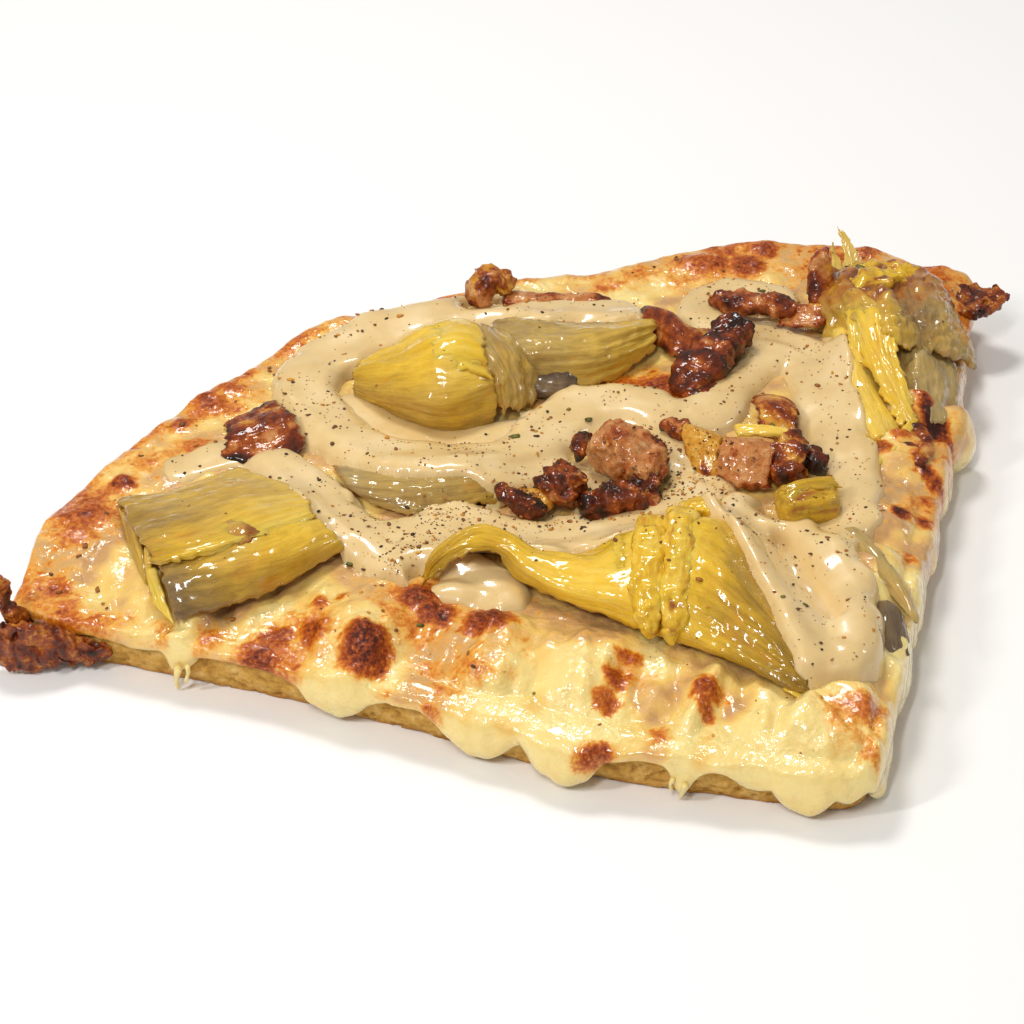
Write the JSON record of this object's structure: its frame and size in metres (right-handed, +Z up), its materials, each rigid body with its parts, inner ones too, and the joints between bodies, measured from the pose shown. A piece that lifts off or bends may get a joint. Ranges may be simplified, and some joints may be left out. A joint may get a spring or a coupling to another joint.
{
  "type": "cheese pizza slice",
  "caption": "Wedge of thin pan pizza: dough, dripping melted cheese, artichoke hearts, bacon pieces and peppered cream dressing, with burnt cheese crisps.",
  "frame": {"origin": "bottom centre of the slice's bounding box, on the flat underside of the dough", "axes": "+Z up, +Y from the slice's tip to the middle of its curved outer edge, +X to the right when looking from the tip along +Y"},
  "size_m": [0.216, 0.1566, 0.0283],
  "materials": {
    "baked_dough": "baked bread: matt, open crumb at the cuts, browner and smoother underneath and on the outer wall",
    "melted_cheese": "melted mozzarella: pale yellow, oily gloss, orange to dark brown blisters",
    "cream_dressing": "creamy dressing: pale buff, glossy, flecked with ground pepper",
    "artichoke_heart": "marinated artichoke: fibrous petals, yellow to olive, oily",
    "crisp_bacon": "fried bacon: red-brown lean, amber fat, charred ends, oily",
    "burnt_cheese": "burnt cheese crisp: dark orange-brown, lacy, dry"
  },
  "bodies": {
    "root": {"artichoke_back_petal": "artichoke_heart", "artichoke_corner": "artichoke_heart", "artichoke_curl": "artichoke_heart", "artichoke_flat_petal": "artichoke_heart", "artichoke_front": "artichoke_heart", "artichoke_heart": "artichoke_heart", "artichoke_left": "artichoke_heart", "artichoke_side_petal": "artichoke_heart", "artichoke_stem": "artichoke_heart", "bacon_amber": "crisp_bacon", "bacon_back_curl": "crisp_bacon", "bacon_centre_crisp": "crisp_bacon", "bacon_centre_lump": "crisp_bacon", "bacon_centre_sliver": "crisp_bacon", "bacon_dark": "crisp_bacon", "bacon_left": "crisp_bacon", "bacon_orange": "crisp_bacon", "bacon_right_strip": "crisp_bacon", "bacon_rose": "crisp_bacon", "bacon_side": "crisp_bacon", "bacon_upright": "crisp_bacon", "cheese": "melted_cheese", "crisp_left": "burnt_cheese", "crisp_left_spike": "burnt_cheese", "crisp_right": "burnt_cheese", "dough": "baked_dough", "dressing": "cream_dressing"}
  },
  "joints": []
}
